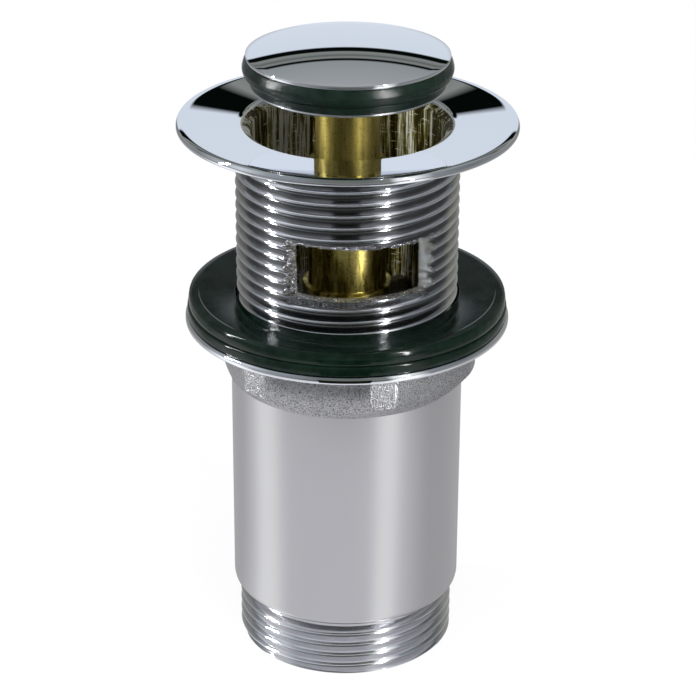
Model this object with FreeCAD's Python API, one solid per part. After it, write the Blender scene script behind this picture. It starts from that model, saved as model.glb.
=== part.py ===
import FreeCAD, Part
import math
import os
from FreeCAD import Vector

# Slotted click-clack basin waste, shown open, standing on the end of its tail.
# Millimetres. +Z is up, the axis is X = Y = 0 and Z = 0 is the outlet's end.
# The overflow slots face -Y and +Y.

os.makedirs("parts", exist_ok=True)

# Driving sizes

# Pipe thread G 1 1/4, which the shank and the outlet share
thread_radius = 20.955
thread_pitch = 2.309
thread_fit = 0.055

# Broken edges of turned pieces
edge_break = 0.3
fine_break = 0.2

# Flange and threaded shank
flange_top_z = 107.6
flange_radius = 31.75
flange_rim_thickness = 1.4
flange_rim_round = 0.6
flange_dish = 0.5
mouth_radius = 19.6
mouth_round = 0.7
seat_depth = 1.2
bore_radius = 18.1
hub_radius = 22.0
hub_root_round = 1.0
hub_depth = 4.8
shank_length = 60.0
shank_chamfer = 1.1

# Overflow slots, milled with a disc cutter
slot_bottom_z = 79.2
slot_height = 10.4
cutter_radius = 24.0
cutter_axis_distance = 35.3

# Bridge cast across the shank
bridge_hub_radius = 8.3
bridge_bottom_z = 62.0
arm_count = 4
arm_thickness = 3.2
arm_hub_drop = 2.0
arm_wall_drop = 4.4
arm_root = 0.6
arm_top_round = 1.3

# Guide sleeve
sleeve_seat_z = 74.2
ring_radius = 8.55
ring_thickness = 1.0
sleeve_radius = 7.35
sleeve_top_z = 99.6
sleeve_floor_thickness = 3.0
spigot_radius = 5.0
spigot_length = 9.6
spigot_clearance = 0.03
spigot_chamfer = 0.7

# Plug
plug_rise = 12.5
cap_radius = 18.88
cap_crown = 2.0
cap_rim_thickness = 0.7
cap_boss_radius = 11.5
seal_height = 4.5
seal_radius = 19.4
seal_top_radius = 18.6
seal_bottom_radius = 17.9
seal_bulge_drop = 2.0
seal_foot_height = 0.9
seal_foot_flare = 0.25
seal_groove_width = 0.2
seal_lip_step = 0.45
seal_bulge_round = 0.9
seal_top_round = 0.4
retainer_radius = 17.85
retainer_thickness = 1.0
stroke = 9.4

# Barrel that carries the plug
barrel_radius = 6.0
barrel_bore_radius = 4.95
barrel_fit = 0.06
barrel_end_clearance = 0.5
head_shoulder = 0.9
head_spigot_length = 4.6
head_stud_radius = 5.0
head_stud_length = 4.2
head_bore_radius = 4.2
head_roof_thickness = 1.3

# Cam that latches the plug
pin_radius = 0.75
pin_above_end = 1.5
pin_reach = 3.75
pin_sink = 0.1
pin_chamfer = 0.15
groove_clearance = 0.2
groove_floor_radius = 3.5
groove_cut_past = 1.0
drum_radius = 4.65
drum_margin = 1.45
drum_bore_clearance = 0.05
long_leg_angle = 65.0
latch_rise = 0.9
post_radius = 2.0
post_thread_radius = 1.6
post_thread_length = 7.0
post_hole_spare = 0.5
post_head_radius = 3.3
post_head_height = 1.4
post_socket_flats = 2.5
post_socket_depth = 1.0
washer_thickness = 0.5
washer_outer_radius = 3.9
cam_play = 0.1

# Spring over the cam post
spring_radius = 3.4
wire_radius = 0.4
spring_turns = 7
coil_runs_per_turn = 12
wire_flats = 8
spring_seat_radius = 4.3
spring_seat_thickness = 0.6
spring_seat_lip_radius = 2.8
spring_seat_lip_height = 0.6

# Sealing washers
washer_bore_clearance = 0.35
rubber_washer_thickness = 2.5
rubber_washer_radius = 30.2
rubber_washer_round = 0.8
slip_washer_thickness = 2.0
slip_washer_radius = 30.4
slip_washer_round = 0.3
washer_gap = 0.02

# Tail
tail_flange_top_z = 68.9
tail_flange_radius = 30.8
tail_flange_thickness = 1.4
tail_flange_round = 0.6
collar_flats = 45.4
collar_corner_radius = 24.8
collar_bottom_z = 56.6
collar_turn = 8.1
body_radius = 22.19
body_bottom_round = 1.8
outlet_thread_turns = 4.4
relief_radius = 19.9
relief_height = 1.0
relief_slope = 0.4
outlet_chamfer = 0.6
outlet_bore_radius = 18.2
tail_shoulder_z = 18.6
tail_shoulder_cone = 2.8


# Shapes by turning and by drawing

def turned(corners):
    """Turn a closed outline of (radius, height, corner size) about Z.

    A corner over the size of a broken edge is rounded by its size, and a smaller one is cut flat.
    """
    edges = []
    ends = []
    count = len(corners)
    for i in range(count):
        radius, height, rounding = corners[i]
        here = Vector(radius, 0, height)
        if rounding == 0:
            ends.append((here, here))
            continue
        before = Vector(corners[i - 1][0], 0, corners[i - 1][1]) - here
        after = Vector(corners[(i + 1) % count][0], 0, corners[(i + 1) % count][1]) - here
        before.normalize()
        after.normalize()
        half_angle = before.getAngle(after) / 2
        back = rounding / math.tan(half_angle)
        bisector = (before + after).normalize()
        centre = here + bisector * (rounding / math.sin(half_angle))
        start = here + before * back
        end = here + after * back
        if rounding <= edge_break:
            edges.append(Part.LineSegment(start, end).toShape())
        else:
            edges.append(Part.Arc(start, centre - bisector * rounding, end).toShape())
        ends.append((start, end))
    for i in range(count):
        start = ends[i][1]
        end = ends[(i + 1) % count][0]
        if start.distanceToPoint(end) > 1e-6:
            edges.append(Part.LineSegment(start, end).toShape())
    wire = Part.Wire(Part.__sortEdges__(edges))
    return Part.Face(wire).revolve(Vector(0, 0, 0), Vector(0, 0, 1), 360)


def rod(radius, bottom, top):
    return Part.makeCylinder(radius, top - bottom, Vector(0, 0, bottom))


def tube(outer, inner, bottom, top):
    return rod(outer, bottom, top).cut(rod(inner, bottom, top))


def hexagon(flats, bottom, top, turn=0.0):
    corner = flats / 2 / math.cos(math.radians(30))
    points = []
    for i in range(7):
        angle = math.radians(60 * i + turn)
        points.append(Vector(corner * math.cos(angle), corner * math.sin(angle), bottom))
    return Part.Face(Part.makePolygon(points)).extrude(Vector(0, 0, top - bottom))


def around(shape, angle):
    copy = shape.copy()
    copy.rotate(Vector(0, 0, 0), Vector(0, 0, 1), angle)
    return copy


# Heights that follow from the driving sizes

flange_under_z = flange_top_z - flange_rim_thickness
thread_start_z = flange_top_z - hub_depth - shank_chamfer
shank_end_z = flange_top_z - shank_length
cap_rim_z = flange_top_z + plug_rise
seal_top_z = cap_rim_z - cap_rim_thickness
seal_bottom_z = seal_top_z - seal_height
retainer_bottom_z = seal_bottom_z - retainer_thickness
barrel_top_z = retainer_bottom_z - head_shoulder
sleeve_floor_z = sleeve_seat_z + sleeve_floor_thickness
barrel_end_z = sleeve_floor_z + barrel_end_clearance + stroke
pin_z = barrel_end_z + pin_above_end
groove_half_width = pin_radius + groove_clearance
drum_bottom_z = sleeve_floor_z + washer_thickness + cam_play
drum_top_z = pin_z + drum_margin
upper_washer_z = drum_top_z + cam_play
post_head_z = upper_washer_z + washer_thickness
spring_seat_z = post_head_z + post_head_height
spring_bottom_z = spring_seat_z + spring_seat_thickness
head_roof_z = retainer_bottom_z + head_stud_length + retainer_thickness
spring_top_z = head_roof_z - head_roof_thickness
slip_washer_z = tail_flange_top_z + washer_gap
rubber_washer_z = slip_washer_z + slip_washer_thickness
rubber_washer_top_z = rubber_washer_z + rubber_washer_thickness
washer_bore = thread_radius + washer_bore_clearance
outlet_thread_top_z = outlet_thread_turns * thread_pitch
relief_bottom_z = outlet_thread_top_z + relief_slope
body_bottom_z = relief_bottom_z + relief_height


# Fixed body

def flange_body():
    lip_z = flange_top_z - flange_dish
    outline = [
        (bore_radius, shank_end_z, 0),
        (bore_radius, lip_z - seat_depth, 0),
        (mouth_radius, lip_z, mouth_round),
        (flange_radius, flange_top_z, flange_rim_round),
        (flange_radius, flange_under_z, flange_rim_round),
        (hub_radius, flange_under_z, hub_root_round),
        (hub_radius, flange_top_z - hub_depth, 0),
        (thread_radius, thread_start_z, 0),
        (thread_radius, shank_end_z + shank_chamfer, 0),
        (thread_radius - shank_chamfer, shank_end_z, 0),
    ]
    body = turned(outline)
    for side in (-1, 1):
        cutter = Part.makeCylinder(cutter_radius, slot_height,
                                   Vector(0, side * cutter_axis_distance, slot_bottom_z))
        body = body.cut(cutter)
    return body.fuse(bridge()).removeSplitter()


def bridge():
    """Cast hub and arms that hold the guide sleeve in the waterway."""
    hub = rod(bridge_hub_radius, bridge_bottom_z, sleeve_seat_z)
    inner = bridge_hub_radius / 2
    outer = bore_radius + arm_root
    arm_side = [
        Vector(inner, -arm_thickness / 2, bridge_bottom_z),
        Vector(outer, -arm_thickness / 2, bridge_bottom_z),
        Vector(outer, -arm_thickness / 2, sleeve_seat_z - arm_wall_drop),
        Vector(inner, -arm_thickness / 2, sleeve_seat_z - arm_hub_drop),
    ]
    face = Part.Face(Part.makePolygon(arm_side + arm_side[:1]))
    arm = face.extrude(Vector(0, arm_thickness, 0))
    top_edges = []
    for edge in arm.Edges:
        middle = edge.CenterOfMass
        spans = abs(edge.BoundBox.XLength) > outer - inner - 0.01
        if spans and middle.z > (bridge_bottom_z + sleeve_seat_z - arm_wall_drop) / 2:
            top_edges.append(edge)
    arm = arm.makeFillet(arm_top_round, top_edges)
    shape = hub
    for i in range(arm_count):
        shape = shape.fuse(around(arm, 360 / arm_count * (i + 0.5)))
    hole = rod(spigot_radius + spigot_clearance, bridge_bottom_z, sleeve_seat_z)
    return shape.cut(hole)


def guide_sleeve():
    outline = [
        (0, sleeve_seat_z - spigot_length, 0),
        (spigot_radius - spigot_chamfer, sleeve_seat_z - spigot_length, 0),
        (spigot_radius, sleeve_seat_z - spigot_length + spigot_chamfer, 0),
        (spigot_radius, sleeve_seat_z, 0),
        (ring_radius, sleeve_seat_z, fine_break),
        (ring_radius, sleeve_seat_z + ring_thickness, edge_break),
        (sleeve_radius, sleeve_seat_z + ring_thickness, edge_break),
        (sleeve_radius, sleeve_top_z, edge_break),
        (barrel_radius + barrel_fit, sleeve_top_z, edge_break),
        (barrel_radius + barrel_fit, sleeve_floor_z, 0),
        (0, sleeve_floor_z, 0),
    ]
    hole = rod(post_thread_radius, sleeve_floor_z - post_thread_length - post_hole_spare, sleeve_floor_z)
    return turned(outline).cut(hole)


def cam_post():
    """Shoulder screw that the drum turns on."""
    outline = [
        (0, sleeve_floor_z - post_thread_length, 0),
        (post_thread_radius - edge_break, sleeve_floor_z - post_thread_length, 0),
        (post_thread_radius, sleeve_floor_z - post_thread_length + edge_break, 0),
        (post_thread_radius, sleeve_floor_z, 0),
        (post_radius, sleeve_floor_z, 0),
        (post_radius, post_head_z, 0),
        (post_head_radius, post_head_z, 0),
        (post_head_radius, spring_seat_z, edge_break),
        (0, spring_seat_z, 0),
    ]
    socket = hexagon(post_socket_flats, spring_seat_z - post_socket_depth, spring_seat_z)
    return turned(outline).cut(socket)


def cam_washer_lower():
    return tube(washer_outer_radius, post_radius + drum_bore_clearance,
                sleeve_floor_z, sleeve_floor_z + washer_thickness)


def cam_washer_upper():
    return tube(washer_outer_radius, post_radius + drum_bore_clearance,
                upper_washer_z, upper_washer_z + washer_thickness)


def spring_seat():
    """Dished washer that centres the spring on the post's head."""
    outline = [
        (0, spring_seat_z, 0),
        (spring_seat_radius, spring_seat_z, 0),
        (spring_seat_radius, spring_bottom_z, fine_break),
        (spring_seat_lip_radius, spring_bottom_z, 0),
        (spring_seat_lip_radius - edge_break, spring_bottom_z + spring_seat_lip_height, 0),
        (0, spring_bottom_z + spring_seat_lip_height, 0),
    ]
    return turned(outline)


def spring():
    """Compression spring between the post's head and the barrel's head.

    The coil is short straight runs with mitred joints, and its wire has flats.
    """
    length = spring_top_z - spring_bottom_z - 2 * wire_radius
    count = spring_turns * coil_runs_per_turn
    route = []
    for i in range(count + 1):
        angle = 2 * math.pi * i / coil_runs_per_turn
        height = spring_bottom_z + wire_radius + length * i / count
        route.append(Vector(spring_radius * math.cos(angle), spring_radius * math.sin(angle), height))
    along = (route[1] - route[0]).normalize()
    outwards = Vector(1, 0, 0)
    across = along.cross(outwards).normalize()
    outwards = across.cross(along)
    section = []
    for i in range(wire_flats + 1):
        angle = 2 * math.pi * i / wire_flats
        section.append(route[0] + outwards * (wire_radius * math.cos(angle))
                       + across * (wire_radius * math.sin(angle)))
    mitred = 1
    return Part.makePolygon(route).makePipeShell([Part.makePolygon(section)], True, False, mitred)


# Cam drum

def groove_leg(start_angle, end_angle, start_z, end_z):
    """One slanting run of the groove, from the upper to the lower end."""
    turn = abs(end_angle - start_angle)
    height = start_z - end_z
    reach = drum_radius + groove_cut_past
    left_handed = end_angle > start_angle
    path = Part.makeHelix(height * 360 / turn, height, reach, 0, left_handed)
    middle = (groove_floor_radius + reach) / 2
    depth = (reach - groove_floor_radius) / 2
    slope = math.atan2(height, math.radians(turn) * drum_radius)
    if math.degrees(slope) > 45:
        across = groove_half_width / math.sin(slope)
        corners = [(-depth, -across), (depth, -across), (depth, across), (-depth, across)]
        points = [Vector(middle + x, y, 0) for x, y in corners]
    else:
        across = groove_half_width / math.cos(slope)
        corners = [(-depth, -across), (depth, -across), (depth, across), (-depth, across)]
        points = [Vector(middle + x, 0, z) for x, z in corners]
    section = Part.makePolygon(points + points[:1])
    leg = Part.Wire(path.Edges).makePipeShell([section], True, True)
    leg.translate(Vector(0, 0, end_z))
    return around(leg, end_angle)


def groove_corner(angle, height):
    end = Part.makeCylinder(groove_half_width, drum_radius + groove_cut_past - groove_floor_radius,
                            Vector(groove_floor_radius, 0, height), Vector(1, 0, 0))
    return around(end, angle)


def index_cam():
    """Drum with two cycles of open, pressed, latched and pressed around it."""
    drum = turned([
        (post_radius + drum_bore_clearance, drum_bottom_z, 0),
        (drum_radius, drum_bottom_z, edge_break),
        (drum_radius, drum_top_z, edge_break),
        (post_radius + drum_bore_clearance, drum_top_z, 0),
    ])
    pressed_z = pin_z - stroke
    latched_z = pressed_z + latch_rise
    for cycle in (0, 180):
        first = cycle + long_leg_angle
        latch = cycle + 90
        last = cycle + 180 - long_leg_angle
        stops = [
            groove_leg(cycle, first, pin_z, pressed_z),
            groove_leg(latch, first, latched_z, pressed_z),
            groove_leg(latch, last, latched_z, pressed_z),
            groove_leg(cycle + 180, last, pin_z, pressed_z),
            groove_corner(cycle, pin_z),
            groove_corner(first, pressed_z),
            groove_corner(latch, latched_z),
            groove_corner(last, pressed_z),
        ]
        entry = Part.makeBox(drum_radius, 2 * groove_half_width, drum_top_z - pin_z,
                             Vector(groove_floor_radius, -groove_half_width, pin_z))
        stops.append(around(entry, cycle))
        for stop in stops:
            drum = drum.cut(stop)
    return drum


# Plug and what goes up and down with it

def plug_cap():
    crown_z = cap_rim_z + cap_crown
    sphere_radius = (cap_radius ** 2 + cap_crown ** 2) / (2 * cap_crown)
    blank = turned([
        (0, retainer_bottom_z + retainer_thickness, 0),
        (cap_boss_radius, retainer_bottom_z + retainer_thickness, edge_break),
        (cap_boss_radius, seal_top_z, 0),
        (cap_radius, seal_top_z, fine_break),
        (cap_radius, crown_z + 1, 0),
        (0, crown_z + 1, 0),
    ])
    ball = Part.makeSphere(sphere_radius, Vector(0, 0, crown_z - sphere_radius))
    socket = rod(head_stud_radius, retainer_bottom_z, head_roof_z)
    return blank.common(ball).cut(socket)


def plug_seal():
    """Moulded ring with a bulging lip, one groove line and a tapered foot."""
    bulge_z = seal_top_z - seal_bulge_drop
    foot_z = seal_bottom_z + seal_foot_height
    return turned([
        (cap_boss_radius, seal_bottom_z, 0),
        (seal_bottom_radius, seal_bottom_z, edge_break),
        (seal_bottom_radius + seal_foot_flare, foot_z, 0),
        (seal_bottom_radius, foot_z + seal_groove_width, 0),
        (seal_radius - seal_lip_step, foot_z + 2 * seal_groove_width, fine_break),
        (seal_radius, bulge_z, seal_bulge_round),
        (seal_top_radius, seal_top_z, seal_top_round),
        (cap_boss_radius, seal_top_z, 0),
    ])


def seal_retainer():
    return turned([
        (head_stud_radius, retainer_bottom_z, 0),
        (retainer_radius, retainer_bottom_z, edge_break),
        (retainer_radius, seal_bottom_z, edge_break),
        (head_stud_radius, seal_bottom_z, 0),
    ])


def plunger_head():
    """Screwed into the barrel below and into the cap above, with the spring's pocket."""
    return turned([
        (head_bore_radius, barrel_top_z - head_spigot_length, 0),
        (barrel_bore_radius, barrel_top_z - head_spigot_length, edge_break),
        (barrel_bore_radius, barrel_top_z, 0),
        (barrel_radius, barrel_top_z, 0),
        (barrel_radius, retainer_bottom_z, 0),
        (head_stud_radius, retainer_bottom_z, 0),
        (head_stud_radius, head_roof_z, edge_break),
        (0, head_roof_z, 0),
        (0, spring_top_z, 0),
        (head_bore_radius, spring_top_z, 0),
    ])


def plunger_tube():
    """Brass barrel, with the hole that the follower pin is pressed into."""
    barrel = turned([
        (barrel_bore_radius, barrel_end_z, 0),
        (barrel_radius, barrel_end_z, edge_break),
        (barrel_radius, barrel_top_z, 0),
        (barrel_bore_radius, barrel_top_z, 0),
    ])
    hole = Part.makeCylinder(pin_radius, barrel_radius, Vector(0, 0, pin_z), Vector(1, 0, 0))
    return barrel.cut(hole)


def follower_pin():
    length = barrel_radius - pin_sink - pin_reach
    pin = Part.makeCylinder(pin_radius, length, Vector(pin_reach, 0, pin_z), Vector(1, 0, 0))
    return pin.makeChamfer(pin_chamfer, [pin.Edges[2]])


# Washers and tail

def rubber_washer():
    return turned([
        (washer_bore, rubber_washer_z, 0),
        (rubber_washer_radius, rubber_washer_z, edge_break),
        (rubber_washer_radius, rubber_washer_top_z, rubber_washer_round),
        (washer_bore, rubber_washer_top_z, edge_break),
    ])


def slip_washer():
    return turned([
        (washer_bore, slip_washer_z, 0),
        (slip_washer_radius, slip_washer_z, edge_break),
        (slip_washer_radius, rubber_washer_z, slip_washer_round),
        (washer_bore, rubber_washer_z, 0),
    ])


def collar():
    """Six flats, with the corners turned round and chamfered below."""
    top = tail_flange_top_z - tail_flange_thickness
    chamfer = collar_corner_radius - body_radius
    blank = turned([
        (0, collar_bottom_z, 0),
        (body_radius, collar_bottom_z, 0),
        (collar_corner_radius, collar_bottom_z + chamfer, 0),
        (collar_corner_radius, top, 0),
        (0, top, 0),
    ])
    return blank.common(hexagon(collar_flats, collar_bottom_z, top, collar_turn - 90))


def tail_body():
    flange_bottom = tail_flange_top_z - tail_flange_thickness
    outer = turned([
        (0, 0, 0),
        (thread_radius - outlet_chamfer, 0, 0),
        (thread_radius, outlet_chamfer, 0),
        (thread_radius, outlet_thread_top_z, 0),
        (relief_radius, relief_bottom_z, 0),
        (relief_radius, body_bottom_z, 0),
        (body_radius, body_bottom_z, body_bottom_round),
        (body_radius, flange_bottom, 0),
        (tail_flange_radius, flange_bottom, tail_flange_round),
        (tail_flange_radius, tail_flange_top_z, tail_flange_round),
        (0, tail_flange_top_z, 0),
    ])
    bore = turned([
        (0, -1, 0),
        (outlet_bore_radius, -1, 0),
        (outlet_bore_radius, tail_shoulder_z - tail_shoulder_cone, 0),
        (thread_radius + thread_fit, tail_shoulder_z, 0),
        (thread_radius + thread_fit, tail_flange_top_z + 1, 0),
        (0, tail_flange_top_z + 1, 0),
    ])
    return outer.fuse(collar()).cut(bore).removeSplitter()


nodes = {
    "flange_body": flange_body,
    "guide_sleeve": guide_sleeve,
    "cam_post": cam_post,
    "cam_washer_lower": cam_washer_lower,
    "cam_washer_upper": cam_washer_upper,
    "spring_seat": spring_seat,
    "spring": spring,
    "index_cam": index_cam,
    "plug_cap": plug_cap,
    "plug_seal": plug_seal,
    "seal_retainer": seal_retainer,
    "plunger_head": plunger_head,
    "plunger_tube": plunger_tube,
    "follower_pin": follower_pin,
    "rubber_washer": rubber_washer,
    "slip_washer": slip_washer,
    "tail_body": tail_body,
}

for name, make in nodes.items():
    shape = make()
    if len(shape.Solids) != 1 or not shape.isValid():
        raise ValueError(name + " is not one sound solid")
    shape.Solids[0].exportStep("parts/" + name + ".step")
    print(name, round(shape.Volume, 1))
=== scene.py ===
"""Looks of a slotted click-clack basin waste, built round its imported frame.

Metres, in the frame's own axes: +Z up along the waste, Z = 0 at the outlet's end.
"""

import math
import random

import bmesh
import bpy
from mathutils import Matrix, Vector


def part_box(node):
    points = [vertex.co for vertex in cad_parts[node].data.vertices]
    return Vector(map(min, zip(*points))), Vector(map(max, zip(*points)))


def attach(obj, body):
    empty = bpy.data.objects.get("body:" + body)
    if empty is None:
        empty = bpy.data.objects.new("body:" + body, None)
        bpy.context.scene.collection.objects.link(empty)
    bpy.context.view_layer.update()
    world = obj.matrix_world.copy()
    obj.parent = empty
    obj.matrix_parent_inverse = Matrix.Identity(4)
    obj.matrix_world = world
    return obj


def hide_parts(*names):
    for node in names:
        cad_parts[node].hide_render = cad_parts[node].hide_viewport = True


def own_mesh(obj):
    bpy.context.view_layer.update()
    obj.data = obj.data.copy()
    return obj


bl_info = {
    "name": "Basin Waste",
    "version": (1, 0, 0),
    "blender": (4, 5, 0),
    "location": "View3D > Sidebar > Basin Waste",
    "description": "Models a slotted click-clack basin waste in chrome, brass and rubber",
    "category": "Add Mesh",
}

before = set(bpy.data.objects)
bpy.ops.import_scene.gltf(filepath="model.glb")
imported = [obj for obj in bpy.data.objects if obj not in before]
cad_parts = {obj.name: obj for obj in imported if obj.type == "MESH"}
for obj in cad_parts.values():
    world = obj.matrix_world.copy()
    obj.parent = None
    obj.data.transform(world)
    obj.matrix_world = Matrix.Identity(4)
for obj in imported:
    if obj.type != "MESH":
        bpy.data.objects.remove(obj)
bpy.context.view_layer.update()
MM = 0.001


def linear(hex_code):
    """Turn an sRGB hex colour into linear red, green, blue and alpha."""
    channels = []
    for i in (0, 2, 4):
        value = int(hex_code[i:i + 2], 16) / 255
        channels.append(value / 12.92 if value <= 0.04045 else ((value + 0.055) / 1.055) ** 2.4)
    return (*channels, 1.0)


# Heights and radii that the frame gives

def radius_of(node):
    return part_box(node)[1].x


def low_of(node):
    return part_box(node)[0].z


def high_of(node):
    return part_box(node)[1].z


FLANGE_RADIUS = radius_of("flange_body")
FLANGE_TOP = 107.6 * MM
SHANK_END = low_of("flange_body")
CAP_RADIUS = radius_of("plug_cap")
CAP_TOP = high_of("plug_cap")
SEAL_RADIUS = radius_of("plug_seal")
SEAL_TOP = high_of("plug_seal")
SEAL_BOTTOM = low_of("plug_seal")
PLATE_RADIUS = radius_of("seal_retainer")
PLATE_BOTTOM = low_of("seal_retainer")
BARREL_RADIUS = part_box("plunger_tube")[1].y
BARREL_END = low_of("plunger_tube")
BARREL_TOP = high_of("plunger_tube")
SLEEVE_RING_RADIUS = radius_of("guide_sleeve")
SLEEVE_TOP = high_of("guide_sleeve")
SLEEVE_END = low_of("guide_sleeve")
SPRING_BOTTOM = low_of("spring")
SPRING_TOP = high_of("spring")
WASHER_RADIUS = radius_of("rubber_washer")
WASHER_TOP = high_of("rubber_washer")
WASHER_BOTTOM = low_of("rubber_washer")
SLIP_RADIUS = radius_of("slip_washer")
SLIP_BOTTOM = low_of("slip_washer")
TAIL_FLANGE_RADIUS = radius_of("tail_body")
TAIL_TOP = high_of("tail_body")

# Sizes of the surfaces that the frame holds but doesn't name

HUB_BOTTOM = FLANGE_TOP - 4.8 * MM
BORE_RADIUS = 18.1 * MM
MOUTH_RADIUS = 19.6 * MM
SLEEVE_RADIUS = 7.35 * MM
SLEEVE_SEAT = 74.2 * MM
BODY_RADIUS = 22.19 * MM
BODY_BOTTOM = 11.56 * MM
COLLAR_TOP = TAIL_TOP - 1.4 * MM
COLLAR_BOTTOM = 56.6 * MM
OUTLET_BORE = 18.2 * MM

ROUND_STEPS = 224
THREAD_STEPS = 160
CORNER_STEPS = 4
SHARP_ANGLE = math.radians(32)


class WasteSizes(bpy.types.PropertyGroup):
    """Sizes that give the surfaces their fine form."""

    thread_radius: bpy.props.FloatProperty(
        name="Thread radius", description="Outer radius of the G 1 1/4 thread",
        default=20.955 * MM, min=0.01, unit="LENGTH", precision=5)
    thread_pitch: bpy.props.FloatProperty(
        name="Thread pitch", description="Rise of the thread in one turn",
        default=2.309 * MM, min=0.0005, unit="LENGTH", precision=5)
    thread_round: bpy.props.FloatProperty(
        name="Thread rounding", description="Radius of the thread's crest and root",
        default=0.317 * MM, min=0, unit="LENGTH", precision=5)
    flange_dish: bpy.props.FloatProperty(
        name="Flange dish", description="Rise of the flange's top from the mouth to the rim",
        default=0.74 * MM, min=0, unit="LENGTH", precision=5)
    crown: bpy.props.FloatProperty(
        name="Crown", description="Height of the domed top over its rim",
        default=2.0 * MM, min=0.0001, unit="LENGTH", precision=5)
    burr: bpy.props.FloatProperty(
        name="Burr", description="How far the milled slots' edges are torn up",
        default=0.28 * MM, min=0, unit="LENGTH", precision=5)
    coil_turns: bpy.props.IntProperty(
        name="Spring turns", description="Turns of the spring under the plug", default=7, min=2)
    wire_radius: bpy.props.FloatProperty(
        name="Wire radius", description="Radius of the spring's wire",
        default=0.4 * MM, min=0.0001, unit="LENGTH", precision=5)


def colour_property(name, description, hex_code):
    return bpy.props.FloatVectorProperty(
        name=name, description=description, subtype="COLOR", size=4, min=0, max=1,
        default=linear(hex_code))


class WasteFinish(bpy.types.PropertyGroup):
    """Colours of the finishes."""

    chrome: colour_property("Chrome", "Bright chromium plate", "EAEDF2")
    satin: colour_property("Satin chrome", "Chromium plate over a blasted surface", "C7C7C9")
    brass: colour_property("Brass", "Bare brass, turned and drawn", "E8D680")
    # Tarnish colour, and also painted shade where the turned brass takes it almost all over
    brass_tarnish_and_shade: colour_property("Brass tarnish and shade", "Olive brown film on the brass", "6E6012")
    steel: colour_property("Steel", "Stainless wire and turned steel", "C9C9C6")
    acetal: colour_property("Acetal", "Natural acetal resin", "ECEAE2")
    rubber: colour_property("Rubber", "Black nitrile rubber", "04100A")
    bloom: colour_property("Rubber bloom", "Pale dust and bloom on the rubber", "284034")


class StudioSetup(bpy.types.PropertyGroup):
    """Camera and light."""

    lens: bpy.props.FloatProperty(
        name="Lens", description="Focal length on a 36 mm sensor", default=129.31, min=10)
    distance: bpy.props.FloatProperty(
        name="Distance", description="From the camera to the waste's axis, level",
        default=435.9 * MM, min=0.1, unit="LENGTH")
    height: bpy.props.FloatProperty(
        name="Height", description="Height of the camera over the floor",
        default=264.67 * MM, min=0, unit="LENGTH")
    round_left: bpy.props.FloatProperty(
        name="Round to the left", description="Turn of the camera round the waste",
        default=math.radians(8.0), subtype="ANGLE")
    pitch: bpy.props.FloatProperty(
        name="Pitch", description="Downward tilt of the camera",
        default=math.radians(25.08), subtype="ANGLE")
    roll: bpy.props.FloatProperty(
        name="Roll", description="Lean of the camera",
        default=math.radians(0.29), subtype="ANGLE")
    yaw: bpy.props.FloatProperty(
        name="Yaw", description="Turn of the camera off the axis",
        default=math.radians(0.032), subtype="ANGLE")
    key_power: bpy.props.FloatProperty(
        name="Right strip", description="Power of the strip light on the right", default=7.0, min=0)
    side_power: bpy.props.FloatProperty(
        name="Left strip", description="Power of the strip light on the left", default=7.5, min=0)
    front_power: bpy.props.FloatProperty(
        name="Front light", description="Power of the soft light in front", default=8.0, min=0)
    top_power: bpy.props.FloatProperty(
        name="Top light", description="Power of the soft light overhead", default=5.0, min=0)


# Helpers for meshes

def corner_outline(bm, corners):
    """Draw a closed outline of (radius, height, rounding) on the XZ plane, with round corners."""
    verts = [bm.verts.new((radius, 0, height)) for radius, height, _ in corners]
    bm.faces.new(verts)
    for size in sorted({rounding for _, _, rounding in corners if rounding > 0}):
        chosen = [vert for vert, corner in zip(verts, corners) if corner[2] == size]
        bmesh.ops.bevel(bm, geom=chosen, offset=size, affect="VERTICES", segments=CORNER_STEPS,
                        profile=0.5, material=-1)
    bmesh.ops.delete(bm, geom=list(bm.faces), context="FACES_ONLY")


def spin_outline(bm, steps=ROUND_STEPS):
    """Turn the outline in the mesh a full turn about Z."""
    bmesh.ops.spin(bm, geom=list(bm.verts) + list(bm.edges), cent=(0, 0, 0), axis=(0, 0, 1),
                   dvec=(0, 0, 0), angle=math.tau, steps=steps, use_merge=True)
    bmesh.ops.remove_doubles(bm, verts=list(bm.verts), dist=1e-6)
    bmesh.ops.recalc_face_normals(bm, faces=list(bm.faces))


def finish_mesh(bm, name, sharp_angle=SHARP_ANGLE):
    """Shade the mesh smooth between its sharp edges and put it in the scene."""
    for face in bm.faces:
        face.smooth = True
    for edge in bm.edges:
        if len(edge.link_faces) == 2 and edge.calc_face_angle(0) > sharp_angle:
            edge.smooth = False
    mesh = bpy.data.meshes.new(name)
    bm.to_mesh(mesh)
    bm.free()
    piece = bpy.data.objects.new(name, mesh)
    bpy.context.scene.collection.objects.link(piece)
    return piece


def turned(name, corners, steps=ROUND_STEPS, sharp_angle=SHARP_ANGLE):
    bm = bmesh.new()
    corner_outline(bm, corners)
    spin_outline(bm, steps)
    return finish_mesh(bm, name, sharp_angle)


def cut_by(piece, *cutters, operation="DIFFERENCE"):
    """Cut the piece by closed meshes and remove them."""
    for cutter in cutters:
        modifier = piece.modifiers.new("Cut", "BOOLEAN")
        modifier.operation = operation
        modifier.solver = "EXACT"
        modifier.object = cutter
    bpy.context.view_layer.update()
    whole = piece.evaluated_get(bpy.context.evaluated_depsgraph_get())
    mesh = bpy.data.meshes.new_from_object(whole)
    piece.modifiers.clear()
    piece.data = mesh
    for cutter in cutters:
        bpy.data.objects.remove(cutter)


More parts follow.
